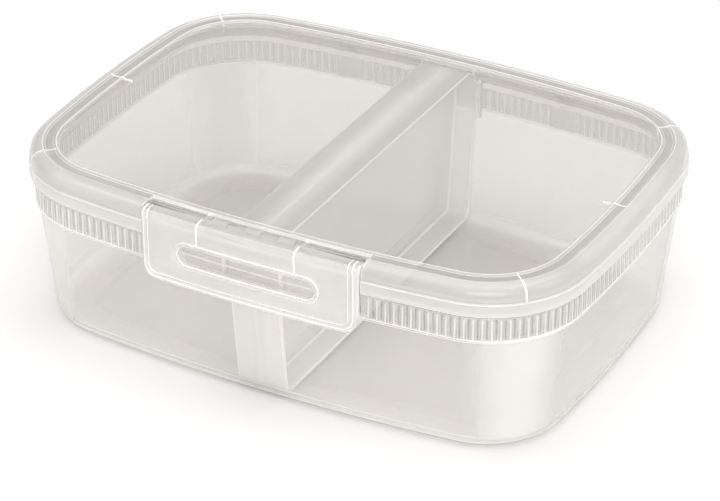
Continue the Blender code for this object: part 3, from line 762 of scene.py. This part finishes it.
def clip_section(x):
    """Closed (y, z) outline of the clip shell at x: barrel, rounded shoulder, face, rolled lower edge."""
    fall = face_relief(x)
    face = CLIP_FACE - fall
    top = HINGE.z + BARREL_RADIUS - BARREL_SHARE * fall
    rise = corner_rise(x)
    bottom = CLIP_BOTTOM + rise + fall
    inner = CLIP_FACE - max(CLIP_WALL, fall + 0.5)
    barrel = arc((HINGE_OFFSET, HINGE.z), BARREL_RADIUS - BARREL_SHARE * fall, 180.0, 90.0, 8)
    bore = arc((HINGE_OFFSET, HINGE.z), PIN_RADIUS + 0.2, 90.0, 180.0, 8)
    shoulder_radius = 2.4
    edge_radius = 1.2
    catch_top = SHOULDER_HEIGHT - 0.6 + rise + fall
    bowed = rounded([
        (HINGE_OFFSET + 0.2, top, 0.0),
        (face, top, shoulder_radius - 0.3),
        (face, bottom, edge_radius),
        (CATCH_OFFSET, bottom, 0.4),
        (CATCH_OFFSET, catch_top, 0.4),
        (inner, catch_top + 0.7, 0.2),
        (inner, HINGE.z + 1.5, 1.2),
        (HINGE_OFFSET + 0.2, HINGE.z + 1.5, 0.0),
    ])
    straight = [Vector((x, -(HALF_WIDTH + offset), z)) for offset, z in barrel]
    follow = [Vector((x, front_y(x, offset), z)) for offset, z in bowed]
    back = [Vector((x, -(HALF_WIDTH + offset), z)) for offset, z in bore]
    return straight + follow + back


def stadium(grow, steps=12):
    """(x, z) outline of the long slot, grown by an amount."""
    radius = SLOT_RADIUS + grow
    reach = SLOT_HALF - SLOT_RADIUS
    right = arc((reach, SLOT_HEIGHT), radius, -90.0, 90.0, steps)
    left = arc((-reach, SLOT_HEIGHT), radius, 90.0, 270.0, steps)
    straight = np.linspace(-reach, reach, 16)[1:-1]
    above = [Vector((x, SLOT_HEIGHT + radius)) for x in reversed(straight)]
    below = [Vector((x, SLOT_HEIGHT - radius)) for x in straight]
    return right + above + left + below


def slot_body(grow, near, far):
    """The long slot as a body between two offsets."""
    return loft("slot", [[Vector((x, front_y(x, offset), z)) for x, z in stadium(grow)]
                         for offset in (near, far)])


def make_clip(material):
    """The clip's shell, cut by the long slot and the two slots for the hinge webs."""
    corner_start = CLIP_HALF_WIDTH - CLIP_CORNER_RADIUS
    corner = [corner_start + CLIP_CORNER_RADIUS * math.sin(math.pi / 2 * step / 12) for step in range(13)]
    right = list(np.linspace(0.0, corner_start, 14))[:-1] + corner
    stations = [-x for x in reversed(right[1:])] + right
    clip = loft("clip_cover", [clip_section(x) for x in stations])
    inner = CLIP_FACE - CLIP_WALL
    reach = BARREL_RADIUS + 1.0
    span = rectangle(HINGE_OFFSET - reach, HINGE_OFFSET + WEB_SLOT_REACH, HINGE.z - reach, HINGE.z + reach)
    section = [Vector((-(HALF_WIDTH + offset), z)) for offset, z in span]
    slots = [prism("slot", section, x - WEB_SLOT_HALF, x + WEB_SLOT_HALF, 0.0)
             for x in (-HINGE_WEB_X, HINGE_WEB_X)]
    cut(clip, [slot_body(0.6, inner - 2.0, CLIP_FACE + 2.0)] + slots)
    return finish_piece(clip, "clip", material, clip_region)


def clip_region(place):
    """The face is milky; the strip over the hinge takes painted shade like the land beside it, and it and
    the slot's surround get no painted highlight on their edges.
    """
    over_hinge = place.z > HINGE.z + 1.9
    by_slot = abs(place.x) < SLOT_HALF + 2.0 and abs(place.z - SLOT_HEIGHT) < SLOT_RADIUS + 1.0
    # Painted shade on the strip over the hinge.
    if over_hinge:
        return FinishAndPaintedLight(milk=0.6, depth=1.0, crisp=0.0)
    return FinishAndPaintedLight(milk=1.0, depth=0.0, crisp=0.0 if by_slot else 1.0)


def make_slot_rim(material):
    """Raised bead all round the long slot."""
    inner = CLIP_FACE - CLIP_WALL
    section = rounded([
        (0.0, inner - SLOT_PROUD, 0.3),
        (1.6, inner - SLOT_PROUD, 0.3),
        (1.6, CLIP_FACE + SLOT_PROUD, 0.35),
        (0.0, CLIP_FACE + SLOT_PROUD, 0.35),
    ])
    loops = [[Vector((x, front_y(x, offset), z)) for x, z in stadium(grow)] for grow, offset in section]
    # The slot rim carries a faint painted highlight all over.
    return finish_piece(loft("clip_slot_rim", loops, ring=True), "clip", material, edge=0.12)


def inset_path(inset):
    """(x, z) points down the clip's left side, round its corners and up its right side, set in by inset."""
    radius = CLIP_CORNER_RADIUS - inset
    reach = CLIP_HALF_WIDTH - CLIP_CORNER_RADIUS
    low = CLIP_BOTTOM + CLIP_CORNER_RADIUS
    top = HINGE.z
    side = [Vector((reach + radius, z)) for z in np.linspace(top, low, 8)[:-1]]
    corner = list(reversed(arc((reach, low), radius, -90.0, 0.0, 10)))
    right = side + corner
    bottom = [Vector((x, low - radius)) for x in np.linspace(reach, -reach, 26)[1:-1]]
    left = [Vector((-point.x, point.y)) for point in reversed(right)]
    return right + bottom + left


def make_frame_lines(material):
    """Fine raised lines that run round the face of the clip inside its edge."""
    parts = []
    for inset, width in FRAME_LINES:
        outer = inset_path(inset - width)
        inner = inset_path(inset + width)
        middle = inset_path(inset)
        loops = []
        for near, crest, far in zip(outer, middle, inner):
            fall = face_relief(crest.x)
            base = CLIP_FACE - fall - LINE_BURIED
            peak = CLIP_FACE - fall + LINE_PROUD
            loops.append([Vector((spot.x, front_y(spot.x, offset), spot.y))
                          for spot, offset in ((near, base), (crest, peak), (far, base))])
        parts.append(loft("line", loops))
    # The frame lines carry the full painted highlight all over.
    return finish_piece(joined("clip_frame_lines", parts), "clip", material, edge=1.0)


def shoulder_line(x, low, half_width):
    """A fine raised line at x from the clip's hinge strip over its shoulder and down to a height."""
    top = HINGE.z + BARREL_RADIUS - BARREL_SHARE * face_relief(x)
    face = CLIP_FACE - face_relief(x)
    start = HINGE_OFFSET + WEB_SLOT_REACH + GAP
    path = rounded([(start, top, 0.0), (face, top, 2.1), (face, low, 0.0)], steps=10)
    loops = []
    for index, spot in enumerate(path):
        along = (path[min(index + 1, len(path) - 1)] - path[max(index - 1, 0)]).normalized()
        normal = Vector((-along.y, along.x))
        crest = spot + normal * SHOULDER_LINE_PROUD
        base = spot - normal * LINE_BURIED
        loops.append([Vector((x + side, front_y(x, point.x), point.y)) for side, point in
                      ((-half_width, base), (half_width, base), (half_width, crest), (-half_width, crest))])
    return loft("line", loops)


def make_shoulder_lines(material):
    """Lines in the plane of the hinge webs, and the frame lines carried over the shoulder."""
    parts = []
    for sign in (-1, 1):
        parts.append(shoulder_line(sign * HINGE_WEB_X, HINGE.z - 5.0, HINGE_LINE_HALF))
        for inset, width in FRAME_LINES:
            parts.append(shoulder_line(sign * (CLIP_HALF_WIDTH - inset), HINGE.z - 0.2, 0.8 * width))
    # The shoulder lines carry the full painted highlight all over.
    return finish_piece(joined("clip_shoulder_lines", parts), "clip", material, edge=1.0)


def make_end_walls(material):
    """Returned ends of the clip that close the sides of its opening in the lid."""
    outer = CLIP_HALF_WIDTH - 0.4
    face = CLIP_FACE - 1.7
    top = HINGE.z + 1.6
    back = HINGE_OFFSET + 0.7
    low = RIM_TOP + 2 * GAP
    bottom = CLIP_BOTTOM + CLIP_CORNER_RADIUS
    section = [(CATCH_OFFSET, bottom), (face, bottom), (face, top - 1.8), (face - 1.8, top), (back, top),
               (back, low), (CATCH_OFFSET, low)]
    parts = []
    for sign in (-1, 1):
        reach = sorted((sign * (outer - 1.2), sign * outer))
        parts.append(front_body("end", section, reach, 0.15))
    # The end walls carry some painted highlight all over.
    return finish_piece(joined("clip_end_walls", parts), "clip", material, edge=0.5)


def make_hooks(material):
    """C-shaped hooks that snap on the hinge pin."""
    centre = (HINGE.y, HINGE.z)
    outer = arc(centre, BARREL_RADIUS - 0.1, -100.0, 185.0, 24)
    inner = arc(centre, PIN_RADIUS + GAP, 185.0, -100.0, 24)
    parts = [prism("hook", outer + inner, x - HOOK_HALF_WIDTH, x + HOOK_HALF_WIDTH, 0.15)
             for x in (-HOOK_SPACING, 0.0, HOOK_SPACING)]
    # The hooks carry a painted highlight all over.
    return finish_piece(joined("clip_hooks", parts), "clip", material, edge=0.65)


# ---------------------------------------------------------------- divider

def divider_loop(x, inset):
    """Closed outline of the divider at x, moved inward by inset."""
    clearance = WALL / math.cos(math.atan(DRAFT)) + DIVIDER_GAP + inset
    top = DIVIDER_HIGH.z - inset
    floor = DIVIDER_LOW.z + inset
    collar = RIM_OFFSET - WALL - DIVIDER_GAP - inset
    half = rounded([
        (0.0, floor, 0.0),
        (HALF_WIDTH + wall_offset(floor, clearance), floor, BASE_RADIUS - WALL - DIVIDER_GAP),
        (HALF_WIDTH + wall_offset(SHOULDER_HEIGHT, clearance), SHOULDER_HEIGHT, 0.4),
        (HALF_WIDTH + collar, SHOULDER_HEIGHT + 0.7, 0.4),
        (HALF_WIDTH + collar, top, DIVIDER_TOP_RADIUS - inset),
        (0.0, top, 0.0),
    ], steps=8)
    back = [Vector((x, y, z)) for y, z in half]
    front = [Vector((x, -y, z)) for x, y, z in reversed(back[1:-1])]
    return back + front


def make_divider(material):
    """A plate with a flange all round it, the edges rounded."""
    half = DIVIDER_HIGH.x
    section = guarded(rounded([
        (DIVIDER_PLATE, PLATE_INSET, 0.0),
        (DIVIDER_PLATE, DIVIDER_FLANGE, 0.9),
        (half, DIVIDER_FLANGE, 0.45),
        (half, 0.0, 0.45),
        (0.6 * half, 0.0, 0.0),
        (0.2 * half, 0.0, 0.0),
        (0.0, 0.0, 0.0),
    ]))
    places = [(x, inset) for x, inset in section] + [(-x, inset) for x, inset in reversed(section[:-1])]
    divider = loft("divider_panel", [divider_loop(x, inset) for x, inset in places])
    return finish_piece(divider, "divider", material, divider_region)


def divider_region(place):
    """Side flanges are milky, the plate milkier towards its ends as a painted highlight with a little
    painted shade, and painted shade on the top towards its edges.
    """
    # Top: painted shade towards its edges, lighter in the middle.
    if place.z > DIVIDER_HIGH.z - 1.5:
        toward_edge = between(abs(place.x), 0.1 * DIVIDER_HIGH.x, 0.6 * DIVIDER_HIGH.x)
        return FinishAndPaintedLight(milk=0.8, depth=0.65 * toward_edge, crisp=1.0)
    if abs(place.x) > 1.0:
        return FinishAndPaintedLight(milk=1.3, depth=0.0, crisp=1.0)
    # Plate: milkier towards its ends as a painted highlight.
    toward_end = between(abs(place.y), HALF_WIDTH - 22.0, HALF_WIDTH - 4.0)
    return FinishAndPaintedLight(milk=0.4 + 1.2 * toward_end, depth=0.1, crisp=1.0)


# ---------------------------------------------------------------- materials

def maths(tree, operation, *operands):
    """A Math node; each operand is a socket or a number."""
    node = tree.nodes.new("ShaderNodeMath")
    node.operation = operation
    for socket, operand in zip(node.inputs, operands):
        if isinstance(operand, (int, float)):
            socket.default_value = operand
        else:
            tree.links.new(operand, socket)
    return node.outputs[0]


def noise(tree, coordinates, scale, detail):
    """Value of a noise texture at the given coordinates."""
    node = tree.nodes.new("ShaderNodeTexNoise")
    node.inputs["Scale"].default_value = scale
    node.inputs["Detail"].default_value = detail
    tree.links.new(coordinates, node.inputs["Vector"])
    return node.outputs["Fac"]


def spread(tree, factor, low, high):
    """The middle of a noise stretched from low to high."""
    node = tree.nodes.new("ShaderNodeMapRange")
    node.inputs["From Min"].default_value = 0.3
    node.inputs["From Max"].default_value = 0.7
    node.inputs["To Min"].default_value = low
    node.inputs["To Max"].default_value = high
    tree.links.new(factor, node.inputs["Value"])
    return node.outputs["Result"]


def blend_colours(tree, factor, first, second):
    """Mix of two colours or colour sockets."""
    node = tree.nodes.new("ShaderNodeMix")
    node.data_type = "RGBA"
    tree.links.new(factor, node.inputs["Factor"])
    for socket, colour in zip((node.inputs[6], node.inputs[7]), (first, second)):
        if isinstance(colour, tuple):
            socket.default_value = (*colour, 1.0)
        else:
            tree.links.new(colour, socket)
    return node.outputs[2]


def blend_shaders(tree, factor, first, second):
    """Mix of two shaders; the factor is a socket or a number."""
    node = tree.nodes.new("ShaderNodeMixShader")
    if isinstance(factor, float):
        node.inputs[0].default_value = factor
    else:
        tree.links.new(factor, node.inputs[0])
    tree.links.new(first, node.inputs[1])
    tree.links.new(second, node.inputs[2])
    return node.outputs[0]


def clear_plastic(name, look):
    """Milky see-through polypropylene with painted highlight and painted shade.

    Light passes with a slight tint, darker where painted shade is set. The scattering share grows
    with the milkiness of a region, which in places is a painted highlight, at grazing angles, where
    a wall is looked at along its length, and at moulded edges, where a painted highlight whitens
    them. Painted shade also darkens the body colour.
    """
    material = bpy.data.materials.new(name)
    material.use_nodes = True
    tree = material.node_tree
    tree.nodes.clear()
    link = tree.links.new
    place = tree.nodes.new("ShaderNodeTexCoord").outputs["Object"]
    cloud = noise(tree, place, 38.0, 2.0)
    flow = noise(tree, place, 210.0, 1.0)

    attribute = tree.nodes.new("ShaderNodeAttribute")
    attribute.attribute_name = "finish_and_painted_light"
    finish_and_painted_light = tree.nodes.new("ShaderNodeSeparateColor")
    link(attribute.outputs["Color"], finish_and_painted_light.inputs[0])
    edge, milk, depth = finish_and_painted_light.outputs
    # Painted highlight on edges, broken up a little by the flow noise.
    painted_highlight_share = maths(tree, "MULTIPLY", edge, spread(tree, flow, 0.8, 1.0))

    grazing = tree.nodes.new("ShaderNodeLayerWeight")
    grazing.inputs["Blend"].default_value = 0.5
    slant = maths(tree, "POWER", grazing.outputs["Facing"], 2.5)
    clouded = spread(tree, cloud, 0.85 * look["wall_haze"], 1.15 * look["wall_haze"])
    clouded = maths(tree, "MULTIPLY_ADD", milk, look["milk_haze"], clouded)
    clouded = maths(tree, "MULTIPLY_ADD", slant, look["grazing_haze"], clouded)
    whole = maths(tree, "MULTIPLY_ADD", painted_highlight_share, look["painted_highlight_haze"], clouded)
    haze = maths(tree, "MINIMUM", whole, 0.96)

    bump = tree.nodes.new("ShaderNodeBump")
    bump.inputs["Strength"].default_value = 0.03
    bump.inputs["Distance"].default_value = 0.1 * MM
    link(flow, bump.inputs["Height"])

    shade = tuple(channel * 0.94 for channel in look["body"])
    colour = blend_colours(tree, cloud, shade, look["body"])
    # Painted shade darkens the body colour by region.
    colour = blend_colours(tree, depth, colour, look["deep_body"])
    # The painted highlight whitens the colour at edges.
    colour = blend_colours(tree, painted_highlight_share, colour, look["edge"])
    scatter = tree.nodes.new("ShaderNodeBsdfPrincipled")
    scatter.inputs["IOR"].default_value = 1.49
    link(colour, scatter.inputs["Base Color"])
    link(spread(tree, flow, 0.28, 0.40), scatter.inputs["Roughness"])
    link(bump.outputs["Normal"], scatter.inputs["Normal"])
    glow = tree.nodes.new("ShaderNodeBsdfTranslucent")
    link(colour, glow.inputs["Color"])
    through = tree.nodes.new("ShaderNodeBsdfTransparent")
    # Painted shade also darkens what shows through the wall.
    link(blend_colours(tree, depth, look["tint"], look["painted_shade_tint"]), through.inputs["Color"])
    gloss = tree.nodes.new("ShaderNodeBsdfGlossy")
    link(spread(tree, cloud, 0.06, 0.11), gloss.inputs["Roughness"])
    link(bump.outputs["Normal"], gloss.inputs["Normal"])
    fresnel = tree.nodes.new("ShaderNodeFresnel")
    fresnel.inputs["IOR"].default_value = 1.49
    back = tree.nodes.new("ShaderNodeNewGeometry").outputs["Backfacing"]
    mirror = maths(tree, "MULTIPLY", fresnel.outputs[0], maths(tree, "SUBTRACT", 1.0, back))

    milky = blend_shaders(tree, 0.4, scatter.outputs[0], glow.outputs[0])
    wall = blend_shaders(tree, haze, through.outputs[0], milky)
    surface = blend_shaders(tree, mirror, wall, gloss.outputs[0])
    link(surface, tree.nodes.new("ShaderNodeOutputMaterial").inputs["Surface"])
    return material


def paper_white():
    """Matt white sweep of the studio table."""
    material = bpy.data.materials.new("studio_white")
    material.use_nodes = True
    tree = material.node_tree
    shader = tree.nodes["Principled BSDF"]
    place = tree.nodes.new("ShaderNodeTexCoord").outputs["Object"]
    colour = blend_colours(tree, noise(tree, place, 20.0, 3.0), (0.715, 0.711, 0.706), (0.725, 0.721, 0.716))
    tree.links.new(colour, shader.inputs["Base Color"])
    shader.inputs["Roughness"].default_value = 0.9
    shader.inputs["Specular IOR Level"].default_value = 0.1
    return material


# ---------------------------------------------------------------- studio

def add_floor():
    """Pale table top just under the box."""
    bpy.ops.mesh.primitive_plane_add(size=STUDIO_SIZE, location=(0.0, 0.0, -STUDIO_DROP))
    floor = bpy.context.object
    floor.name = "studio_floor"
    floor.data.materials.append(paper_white())


def soft_light(name, place, size, power):
    """A square soft box aimed at the middle of the box."""
    data = bpy.data.lights.new(name, "AREA")
    data.size = size
    data.energy = power
    light = bpy.data.objects.new(name, data)
    bpy.context.scene.collection.objects.link(light)
    light.location = place
    light.rotation_euler = (BOX_MIDDLE - Vector(place)).to_track_quat("-Z", "Y").to_euler()


def add_world():
    """A pale room, brighter in front of the box and to its right than behind it and to its left."""
    world = bpy.data.worlds.new("studio")
    world.use_nodes = True
    bpy.context.scene.world = world
    tree = world.node_tree
    background = tree.nodes["Background"]
    split = tree.nodes.new("ShaderNodeSeparateXYZ")
    tree.links.new(tree.nodes.new("ShaderNodeTexCoord").outputs["Generated"], split.inputs[0])
    backward = tree.nodes.new("ShaderNodeMapRange")
    backward.inputs["From Min"].default_value = -0.6
    backward.inputs["From Max"].default_value = 0.7
    tree.links.new(split.outputs["Y"], backward.inputs["Value"])
    colour = blend_colours(tree, backward.outputs["Result"], ROOM_FRONT, ROOM_BACK)
    tree.links.new(colour, background.inputs["Color"])
    rightward = tree.nodes.new("ShaderNodeMapRange")
    rightward.inputs["From Min"].default_value = -0.8
    rightward.inputs["From Max"].default_value = 0.8
    rightward.inputs["To Min"].default_value = ROOM_LEFT
    rightward.inputs["To Max"].default_value = ROOM_RIGHT
    tree.links.new(split.outputs["X"], rightward.inputs["Value"])
    tree.links.new(rightward.outputs["Result"], background.inputs["Strength"])


def add_camera():
    """Long lens, front right of the box and above it."""
    data = bpy.data.cameras.new("camera")
    data.sensor_width = SENSOR_WIDTH
    data.lens = LENS
    camera = bpy.data.objects.new("camera", data)
    bpy.context.scene.collection.objects.link(camera)
    camera.location = CAMERA_PLACE
    camera.rotation_euler = (CAMERA_TARGET - CAMERA_PLACE).to_track_quat("-Z", "Y").to_euler()
    bpy.context.scene.camera = camera


def add_lights():
    """Soft boxes: name, place and size in metres, and power in watts."""
    soft_light("top", (0.0, 0.45, 1.8), 1.4, 10.0)
    soft_light("over", (-0.1, 0.0, 1.5), 1.6, 8.0)
    soft_light("key", (-0.8, -0.5, 1.5), 0.6, 3.0)
    soft_light("front", (0.6, -1.2, 0.8), 0.9, 9.0)
    soft_light("right", (1.2, 0.0, 0.9), 0.6, 1.5)


def tone():
    """Plain tones, and enough see-through layers for light to pass every wall."""
    scene = bpy.context.scene
    scene.view_settings.view_transform = "Standard"
    scene.cycles.transparent_max_bounces = 32
    scene.cycles.max_bounces = 6


# ---------------------------------------------------------------- assembly

def look(**changes):
    """Numbers of one plastic: the shared ones with a few changed."""
    shared = {
        "tint": (0.977, 0.972, 0.965),
        # Tint towards which painted shade darkens what shows through.
        "painted_shade_tint": (0.80, 0.79, 0.775),
        "body": (0.97, 0.955, 0.94),
        # Body colour towards which painted shade darkens.
        "deep_body": (0.62, 0.605, 0.59),
        # Colour of the painted highlight on edges.
        "edge": (1.0, 1.0, 0.995),
        "wall_haze": 0.12,
        # How much cloud milkiness adds, where it is in places a painted highlight too.
        "milk_haze": 0.25,
        "grazing_haze": 0.30,
        # How much the painted highlight on edges clouds the wall.
        "painted_highlight_haze": 0.95,
    }
    return {**shared, **changes}


def build():
    """Every piece of the box in the plastic of its moulding."""
    tub_plastic = clear_plastic("tub_plastic", look(grazing_haze=0.2))
    lid_plastic = clear_plastic("lid_plastic", look(
        wall_haze=0.03, milk_haze=0.30, tint=(0.94, 0.935, 0.928), body=(0.95, 0.935, 0.92)))
    clip_plastic = clear_plastic("clip_plastic", look(
        milk_haze=0.17, grazing_haze=0.18, tint=(0.97, 0.965, 0.96), body=(1.0, 0.995, 0.99)))
    # The divider's painted shade is lighter than that of the other mouldings.
    divider_plastic = clear_plastic("divider_plastic", look(
        milk_haze=0.34, body=(1.0, 0.99, 0.98), deep_body=(0.72, 0.705, 0.69)))
    make_tub(tub_plastic)
    make_guide_ribs(tub_plastic)
    make_catch_pad(tub_plastic)
    make_divider(divider_plastic)
    make_lid(lid_plastic)
    make_webs(lid_plastic)
    make_hinge_pin(lid_plastic)
    make_rear_lugs(lid_plastic)
    make_clip(clip_plastic)
    make_slot_rim(clip_plastic)
    make_frame_lines(clip_plastic)
    make_shoulder_lines(clip_plastic)
    make_end_walls(clip_plastic)
    make_hooks(clip_plastic)


build()
add_floor()
add_world()
add_lights()
add_camera()
tone()
